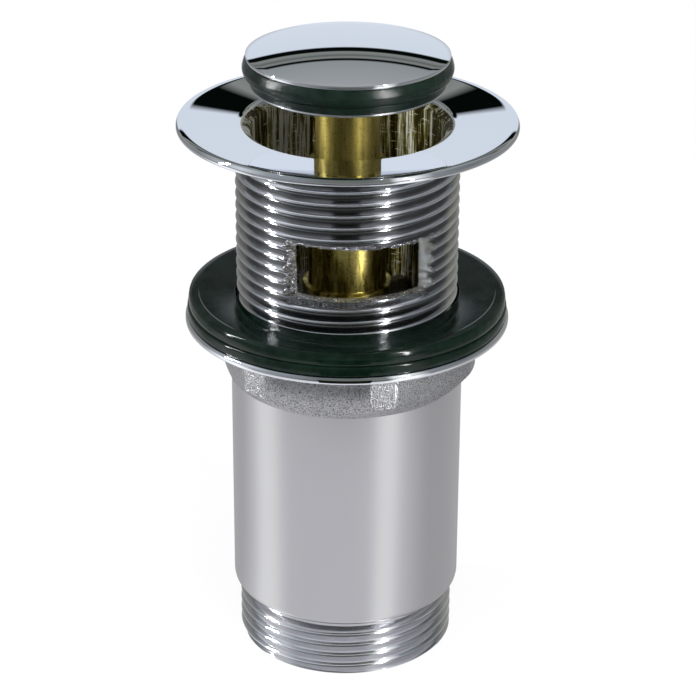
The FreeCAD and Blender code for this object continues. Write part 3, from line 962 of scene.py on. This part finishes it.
class BASINWASTE_OT_spring(bpy.types.Operator):
    """Wind the spring and finish the click mechanism inside the barrel"""

    bl_idname = "basinwaste.spring"
    bl_label = "Spring and click mechanism"

    def execute(self, context):
        sizes = context.scene.waste_sizes
        wire = sizes.wire_radius
        coil_radius = 3.4 * MM
        steps = 48
        pitch = (SPRING_TOP - SPRING_BOTTOM - 2 * wire) / sizes.coil_turns
        bm = bmesh.new()
        bmesh.ops.create_circle(bm, cap_ends=True, segments=14, radius=wire * 0.96,
                                matrix=Matrix.Translation((coil_radius, 0, SPRING_BOTTOM + wire))
                                @ Matrix.Rotation(math.radians(90), 4, "X"))
        bmesh.ops.spin(bm, geom=list(bm.faces), cent=(0, 0, 0), axis=(0, 0, 1),
                       dvec=(0, 0, pitch / steps), angle=math.tau * sizes.coil_turns,
                       steps=steps * sizes.coil_turns)
        bmesh.ops.recalc_face_normals(bm, faces=list(bm.faces))
        coil = finish_mesh(bm, "spring_coil")
        place(coil, "waste_body", "steel", drawn_steel, "spring")
        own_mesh(coil)
        for node in ("cam_post", "spring_seat", "follower_pin"):
            dress(node, drawn_steel)
        for node in ("index_cam", "cam_washer_lower", "cam_washer_upper"):
            dress(node, natural_acetal)
        dress("plunger_head", turned_brass)
        return {"FINISHED"}


class BASINWASTE_OT_washers(bpy.types.Operator):
    """Model the two rubber washers"""

    bl_idname = "basinwaste.washers"
    bl_label = "Washers"

    def execute(self, context):
        sizes = context.scene.waste_sizes
        bore = sizes.thread_radius + 0.35 * MM
        upper = turned("upper_washer", [
            (bore, WASHER_BOTTOM, 0),
            (WASHER_RADIUS - 0.1 * MM, WASHER_BOTTOM, 0.25 * MM),
            (WASHER_RADIUS, WASHER_BOTTOM + 1.0 * MM, 0.3 * MM),
            (WASHER_RADIUS - 0.25 * MM, WASHER_TOP, 0.55 * MM),
            (WASHER_RADIUS - 1.9 * MM, WASHER_TOP, 0.2 * MM),
            (WASHER_RADIUS - 2.1 * MM, WASHER_TOP - 0.06 * MM, 0.1 * MM),
            (bore, WASHER_TOP - 0.06 * MM, 0.25 * MM),
        ], steps=256)
        place(upper, "washers", "washer_rubber", washer_rubber, "rubber_washer")
        lower = turned("lower_washer", [
            (bore, SLIP_BOTTOM, 0),
            (SLIP_RADIUS, SLIP_BOTTOM, 0.3 * MM),
            (SLIP_RADIUS, WASHER_BOTTOM, 0.4 * MM),
            (bore, WASHER_BOTTOM, 0),
        ], steps=256)
        place(lower, "washers", "washer_rubber", washer_rubber, "slip_washer")
        return {"FINISHED"}


class BASINWASTE_OT_tail(bpy.types.Operator):
    """Model the tail: flange, six-sided collar, body and threaded outlet"""

    bl_idname = "basinwaste.tail"
    bl_label = "Tail"

    def flange(self, inner):
        return turned("tail_flange", [
            (inner, COLLAR_TOP, 0),
            (TAIL_FLANGE_RADIUS, COLLAR_TOP, 0.45 * MM),
            (TAIL_FLANGE_RADIUS, TAIL_TOP, 0.5 * MM),
            (inner, TAIL_TOP, 0.3 * MM),
        ], steps=256)

    def collar(self, inner):
        """Six flats, with the corners turned round and chamfered below."""
        corner_radius = 24.8 * MM
        chamfer = corner_radius - BODY_RADIUS
        collar = turned("tail_collar", [
            (inner, COLLAR_BOTTOM, 0),
            (BODY_RADIUS + 0.02 * MM, COLLAR_BOTTOM, 0),
            (corner_radius, COLLAR_BOTTOM + chamfer, 0),
            (corner_radius, COLLAR_TOP, 0),
            (inner, COLLAR_TOP, 0),
        ])
        flats = 45.4 * MM
        bm = bmesh.new()
        corner = flats / 2 / math.cos(math.radians(30))
        bmesh.ops.create_cone(bm, cap_ends=True, cap_tris=False, segments=6, radius1=corner,
                              radius2=corner, depth=COLLAR_TOP - COLLAR_BOTTOM + 2 * MM,
                              matrix=Matrix.Translation((0, 0, (COLLAR_TOP + COLLAR_BOTTOM) / 2))
                              @ Matrix.Rotation(math.radians(8.1), 4, "Z"))
        cut_by(collar, finish_mesh(bm, "six_flats"), operation="INTERSECT")
        return collar

    def body(self, inner):
        relief = 19.9 * MM
        return turned("tail_body_shell", [
            (OUTLET_BORE, 10.4 * MM, 0),
            (relief, 10.4 * MM, 0),
            (relief, BODY_BOTTOM, 0),
            (BODY_RADIUS, BODY_BOTTOM, 1.6 * MM),
            (BODY_RADIUS, COLLAR_TOP, 0),
            (inner, COLLAR_TOP, 0),
            (inner, 18.6 * MM, 0),
            (OUTLET_BORE, 15.8 * MM, 0),
        ], steps=256)

    def execute(self, context):
        sizes = context.scene.waste_sizes
        inner = sizes.thread_radius + 0.055 * MM
        parts = (
            (self.flange(inner), polished_chrome),
            (self.collar(inner), cast_chrome),
            (self.body(inner), satin_chrome),
            (threaded_tube("outlet_thread", 0, 10.4 * MM, OUTLET_BORE, 0.6 * MM, 0.9 * MM),
             outlet_chrome),
        )
        for piece, material in parts:
            place(piece, "tail", "satin_chrome", material, "tail_body")
        return {"FINISHED"}


class BASINWASTE_OT_stage(bpy.types.Operator):
    """Set the pale floor, the studio's walls, the lights and the camera"""

    bl_idname = "basinwaste.stage"
    bl_label = "Stage"

    def bearing(self, tree, space):
        """Bearing round the waste from the lights' front, as a share of a full turn."""
        place_node = add_node(tree, "ShaderNodeTexCoord")
        turn = (0, 0, bpy.context.scene.studio_setup.round_left)
        # The cards fan out from a point 14 mm in front of the axis, so that a round body
        # shows each one as an upright line
        turned_round = add_node(tree, "ShaderNodeMapping",
                                {"Vector": place_node.outputs[space], "Rotation": turn,
                                 "Location": (0, 14 * MM, 0)})
        split = add_node(tree, "ShaderNodeSeparateXYZ", {"Vector": turned_round.outputs["Vector"]})
        front = add_node(tree, "ShaderNodeMath", {0: split.outputs["Y"], 1: -1.0},
                         operation="MULTIPLY")
        angle = add_node(tree, "ShaderNodeMath", {0: split.outputs["X"], 1: front.outputs["Value"]},
                         operation="ARCTAN2")
        return ranged(tree, angle.outputs["Value"], 0, 1, -math.pi, math.pi)

    def floor(self):
        bm = bmesh.new()
        bmesh.ops.create_grid(bm, x_segments=1, y_segments=1, size=4.0)
        floor = finish_mesh(bm, "studio_floor")
        material = new_material("pale studio floor")
        tree = material.node_tree
        rays = add_node(tree, "ShaderNodeLightPath")
        paper = add_node(tree, "ShaderNodeBsdfDiffuse", {"Color": linear("F2F2F4")})
        white = add_node(tree, "ShaderNodeEmission", {"Color": (1, 1, 1, 1), "Strength": 1.0})
        bearing = self.bearing(tree, "Object")
        near = add_node(tree, "ShaderNodeValToRGB", {"Fac": bearing})
        dim = linear("B0B0B2")
        plain = linear("D2D2D7")
        bright = linear("FFFFFF")
        set_stops(near, [((degrees + 180) / 360, colour) for degrees, colour in (
            (-180, dim), (-125, dim), (-106, plain), (-95, bright), (-80, bright), (-66, plain),
            (26, plain), (37, bright), (50, bright), (62, plain), (90, dim), (180, dim))])
        far = add_node(tree, "ShaderNodeValToRGB", {"Fac": bearing})
        set_stops(far, [((degrees + 180) / 360, linear(code)) for degrees, code in (
            (-180, "9C9C9E"), (-112, "949494"), (-96, "F4F4F6"), (-80, "F4F4F6"),
            (-66, "8C8E90"), (-40, "6A6C6C"), (-16, "2A2E2A"), (14, "2A2E2A"), (29, "4C4E4C"),
            (36, "FFFFFF"), (50, "FFFFFF"), (60, "6A6C6C"), (100, "7A7C7A"), (180, "9C9C9E"))])
        place_node = add_node(tree, "ShaderNodeTexCoord")
        reach = add_node(tree, "ShaderNodeVectorMath", {0: place_node.outputs["Object"]},
                         operation="LENGTH")
        beyond = add_node(tree, "ShaderNodeValToRGB", {"Fac": bearing})
        behind = linear("D3DAE4")
        front = linear("707274")
        set_stops(beyond, [((degrees + 180) / 360, colour) for degrees, colour in (
            (-180, behind), (-168, behind), (-155, front), (155, front), (168, behind),
            (180, behind))])
        away = add_node(tree, "ShaderNodeMix",
                        {"Factor": ranged(tree, reach.outputs["Value"], 0, 1, 0.34, 0.37),
                         "A": far.outputs["Color"], "B": beyond.outputs["Color"]},
                        data_type="RGBA")
        cards = add_node(tree, "ShaderNodeMix",
                         {"Factor": ranged(tree, reach.outputs["Value"], 0, 1, 0.142, 0.168),
                          "A": near.outputs["Color"], "B": away.outputs["Result"]},
                         data_type="RGBA")
        mirrored = add_node(tree, "ShaderNodeEmission",
                            {"Color": cards.outputs["Result"], "Strength": 1.15})
        seen = add_node(tree, "ShaderNodeMath",
                        {0: rays.outputs["Is Camera Ray"], 1: 0.9}, operation="MULTIPLY")
        lit = add_node(tree, "ShaderNodeMixShader",
                       {0: seen.outputs["Value"], 1: paper.outputs["BSDF"],
                        2: white.outputs["Emission"]})
        glossy = add_node(tree, "ShaderNodeMath",
                          {0: rays.outputs["Is Glossy Ray"], 1: 0.95}, operation="MULTIPLY")
        surface = add_node(tree, "ShaderNodeMixShader",
                           {0: glossy.outputs["Value"], 1: lit.outputs["Shader"],
                            2: mirrored.outputs["Emission"]})
        add_node(tree, "ShaderNodeOutputMaterial", {"Surface": surface.outputs["Shader"]})
        floor.data.materials.append(material)

    def flag(self, setup):
        """Hang a small dark card in front, which only metal and rubber mirror."""
        bm = bmesh.new()
        bmesh.ops.create_grid(bm, x_segments=1, y_segments=1, size=0.5)
        bmesh.ops.scale(bm, verts=list(bm.verts), vec=(0.031, 0.026, 1))
        bmesh.ops.rotate(bm, verts=list(bm.verts), cent=(0, 0, 0),
                         matrix=Matrix.Rotation(math.radians(90), 3, "X"))
        bmesh.ops.translate(bm, verts=list(bm.verts), vec=(-0.001, -0.062, 0.054))
        bmesh.ops.rotate(bm, verts=list(bm.verts), cent=(0, 0, 0),
                         matrix=Matrix.Rotation(-setup.round_left, 3, "Z"))
        flag = finish_mesh(bm, "dark_flag")
        material = new_material("dark card")
        card = add_node(material.node_tree, "ShaderNodeEmission",
                        {"Color": linear("1A1A14"), "Strength": 1.0})
        add_node(material.node_tree, "ShaderNodeOutputMaterial",
                 {"Surface": card.outputs["Emission"]})
        flag.data.materials.append(material)
        flag.visible_camera = False
        flag.visible_diffuse = False
        flag.visible_shadow = False

    def wall_bands(self, tree, outlook):
        """Pale walls behind the waste, with a black cornice and a grey ceiling over them."""
        split = add_node(tree, "ShaderNodeSeparateXYZ", {"Vector": outlook.outputs["Vector"]})
        angle = add_node(tree, "ShaderNodeMath", {0: split.outputs["Z"]}, operation="ARCSINE")
        share = ranged(tree, angle.outputs["Value"], 0, 1, -math.pi / 2, math.pi / 2)
        bands = add_node(tree, "ShaderNodeValToRGB", {"Fac": share})
        set_stops(bands, [((degrees + 90) / 180, linear(code)) for degrees, code in (
            (-90, "DDE4EE"), (21.1, "DDE4EE"), (21.3, "040A07"), (24.0, "040A07"),
            (24.2, "B4B8B2"), (24.9, "5D625F"), (25.5, "8F938F"), (26.6, "585E5B"),
            (28.0, "8E918D"), (28.5, "7C807C"), (28.8, "060B08"), (29.8, "060B08"),
            (30.1, "929798"), (45, "A9ABAC"), (70, "B9BABD"), (90, "C4C4C8"))])
        return bands

    def world(self):
        """White to the camera; metal sees pale walls, dark gaps and arches of light."""
        world = bpy.data.worlds.new("studio")
        bpy.context.scene.world = world
        world.use_nodes = True
        tree = world.node_tree
        tree.nodes.clear()
        place_node = add_node(tree, "ShaderNodeTexCoord")
        turn = (0, 0, bpy.context.scene.studio_setup.round_left)
        outlook = add_node(tree, "ShaderNodeMapping",
                           {"Vector": place_node.outputs["Generated"], "Rotation": turn})
        walls = self.wall_bands(tree, outlook)
        # The arches spring from the front wall at 25 degrees and lean back over the waste,
        # so that each one draws one upright line of light down a threaded shank
        spring_angle = math.radians(25)
        lean = add_node(tree, "ShaderNodeVectorMath",
                        {0: outlook.outputs["Vector"],
                         1: (0, -math.cos(spring_angle), math.sin(spring_angle))}, operation="ADD")
        arch = add_node(tree, "ShaderNodeVectorMath", {0: lean.outputs["Vector"]},
                        operation="NORMALIZE")
        split = add_node(tree, "ShaderNodeSeparateXYZ", {"Vector": arch.outputs["Vector"]})
        front = add_node(tree, "ShaderNodeMath", {0: split.outputs["Y"], 1: -1.0},
                         operation="MULTIPLY")
        side = add_node(tree, "ShaderNodeMath", {0: split.outputs["X"], 1: front.outputs["Value"]},
                        operation="ARCTAN2")
        share = ranged(tree, side.outputs["Value"], 0, 1, -math.pi / 2, math.pi / 2)
        rise = add_node(tree, "ShaderNodeMath", {0: split.outputs["Z"]}, operation="ARCSINE")
        high = add_node(tree, "ShaderNodeValToRGB", {"Fac": share})
        set_stops(high, [((degrees + 90) / 180, linear(code)) for degrees, code in (
            (-90, "8C8C88"), (-66, "8C8C88"), (-57, "6F7376"), (-49, "9FA5AA"), (-36, "C4C9CE"),
            (-30, "9CA2A6"), (-19, "8F9499"), (-14, "4C4840"), (-8, "3C3830"), (-6, "101A16"),
            (5, "101A16"), (7, "4A4A44"), (13, "5A5A54"), (16, "D8DCE2"), (23, "E6E9EE"),
            (28, "84898E"), (40, "767B80"), (47, "53565A"), (58, "6A6C6E"), (68, "97978E"),
            (90, "97978E"))])
        low = add_node(tree, "ShaderNodeValToRGB", {"Fac": share})
        set_stops(low, [((degrees + 90) / 180, linear(code)) for degrees, code in (
            (-90, "9C9C98"), (-60, "86898C"), (-48, "B4B8BC"), (-38, "D8DCE0"), (-28, "9A9FA4"),
            (-16, "868A8E"), (-8, "70746F"), (6, "6C706C"), (14, "80847E"), (17, "FFFFFF"),
            (23, "FFFFFF"), (30, "8A8E92"), (45, "74787C"), (66, "90908C"), (90, "A4A4A0"))])
        arches = add_node(tree, "ShaderNodeMix",
                          {"Factor": ranged(tree, rise.outputs["Value"], 0, 1, math.radians(44),
                                            math.radians(56)),
                           "A": low.outputs["Color"], "B": high.outputs["Color"]},
                          data_type="RGBA")
        mirrored = add_node(tree, "ShaderNodeMix",
                            {"Factor": ranged(tree, rise.outputs["Value"], 0, 1, math.radians(70),
                                              math.radians(76)),
                             "A": arches.outputs["Result"], "B": walls.outputs["Color"]},
                            data_type="RGBA")
        rays = add_node(tree, "ShaderNodeLightPath")
        seen = add_node(tree, "ShaderNodeMath",
                        {0: rays.outputs["Is Camera Ray"], 1: rays.outputs["Is Transmission Ray"]},
                        operation="MAXIMUM")
        room = add_node(tree, "ShaderNodeBackground",
                        {"Color": linear("F4F4F8"), "Strength": 0.55})
        studio = add_node(tree, "ShaderNodeBackground",
                          {"Color": mirrored.outputs["Result"], "Strength": 1.0})
        white = add_node(tree, "ShaderNodeBackground", {"Color": (1, 1, 1, 1), "Strength": 1.0})
        metal = add_node(tree, "ShaderNodeMixShader",
                         {0: rays.outputs["Is Glossy Ray"], 1: room.outputs["Background"],
                          2: studio.outputs["Background"]})
        shown = add_node(tree, "ShaderNodeMixShader",
                         {0: seen.outputs["Value"], 1: metal.outputs["Shader"],
                          2: white.outputs["Background"]})
        add_node(tree, "ShaderNodeOutputWorld", {"Surface": shown.outputs["Shader"]})

    def lamp(self, name, azimuth, distance, height, width, tall, power, mirrored=False):
        """Stand a strip light at a bearing from the camera's side of the waste."""
        data = bpy.data.lights.new(name, "AREA")
        data.shape = "RECTANGLE"
        data.size = width
        data.size_y = tall
        data.energy = power
        lamp = bpy.data.objects.new(name, data)
        lamp.visible_glossy = mirrored
        bpy.context.scene.collection.objects.link(lamp)
        spot = Vector((math.sin(azimuth) * distance, -math.cos(azimuth) * distance, height))
        aim = Vector((0, 0, height * 0.8)) - spot
        lamp.matrix_world = Matrix.Translation(spot) @ aim.to_track_quat("-Z", "Y").to_matrix().to_4x4()
        return lamp

    def camera(self, setup):
        data = bpy.data.cameras.new("studio_camera")
        data.lens = setup.lens
        data.sensor_width = 36
        data.clip_end = 20
        heading = setup.round_left + setup.yaw
        forward = Vector((math.sin(heading) * math.cos(setup.pitch),
                          math.cos(heading) * math.cos(setup.pitch), -math.sin(setup.pitch)))
        right = Vector((math.cos(heading), -math.sin(heading), 0))
        up = right.cross(forward)
        turn = Matrix((right, up, -forward)).transposed().to_4x4()
        spot = Vector((-math.sin(setup.round_left) * setup.distance,
                       -math.cos(setup.round_left) * setup.distance, setup.height))
        camera = bpy.data.objects.new("studio_camera", data)
        bpy.context.scene.collection.objects.link(camera)
        camera.matrix_world = (Matrix.Translation(spot) @ turn
                               @ Matrix.Rotation(setup.roll, 4, "Z"))
        bpy.context.scene.camera = camera

    def execute(self, context):
        setup = context.scene.studio_setup
        self.floor()
        self.flag(setup)
        self.world()
        left = -setup.round_left
        self.lamp("left_strip", left - math.radians(88), 0.9, 0.30, 0.035, 0.9,
                  setup.side_power, mirrored=True)
        self.lamp("right_strip", left + math.radians(41), 0.9, 0.30, 0.035, 0.9,
                  setup.key_power, mirrored=True)
        self.lamp("front_light", left + math.radians(8), 1.0, 0.7, 0.7, 0.5, setup.front_power)
        self.lamp("top_light", left, 0.15, 1.1, 0.8, 0.8, setup.top_power)
        self.camera(setup)
        context.scene.view_settings.view_transform = "Standard"
        return {"FINISHED"}


OPERATORS = (
    BASINWASTE_OT_flange, BASINWASTE_OT_shank, BASINWASTE_OT_bridge, BASINWASTE_OT_sleeve,
    BASINWASTE_OT_barrel, BASINWASTE_OT_plug, BASINWASTE_OT_spring, BASINWASTE_OT_washers,
    BASINWASTE_OT_tail, BASINWASTE_OT_stage,
)


class BASINWASTE_PT_panel(bpy.types.Panel):
    """Lists the pieces, sizes and finishes."""

    bl_label = "Basin Waste"
    bl_idname = "BASINWASTE_PT_panel"
    bl_space_type = "VIEW_3D"
    bl_region_type = "UI"
    bl_category = "Basin Waste"

    def draw(self, context):
        layout = self.layout
        for operator in OPERATORS:
            layout.operator(operator.bl_idname)
        for group in (context.scene.waste_sizes, context.scene.waste_finish,
                      context.scene.studio_setup):
            box = layout.box()
            for name in group.__annotations__:
                box.prop(group, name)


CLASSES = (WasteSizes, WasteFinish, StudioSetup, *OPERATORS, BASINWASTE_PT_panel)


def register():
    for item in CLASSES:
        bpy.utils.register_class(item)
    bpy.types.Scene.waste_sizes = bpy.props.PointerProperty(type=WasteSizes)
    bpy.types.Scene.waste_finish = bpy.props.PointerProperty(type=WasteFinish)
    bpy.types.Scene.studio_setup = bpy.props.PointerProperty(type=StudioSetup)


def unregister():
    del bpy.types.Scene.waste_sizes
    del bpy.types.Scene.waste_finish
    del bpy.types.Scene.studio_setup
    for item in reversed(CLASSES):
        bpy.utils.unregister_class(item)


def main():
    register()
    bpy.ops.basinwaste.flange()
    bpy.ops.basinwaste.shank()
    bpy.ops.basinwaste.bridge()
    bpy.ops.basinwaste.sleeve()
    bpy.ops.basinwaste.barrel()
    bpy.ops.basinwaste.plug()
    bpy.ops.basinwaste.spring()
    bpy.ops.basinwaste.washers()
    bpy.ops.basinwaste.tail()
    bpy.ops.basinwaste.stage()


if __name__ == "__main__":
    main()
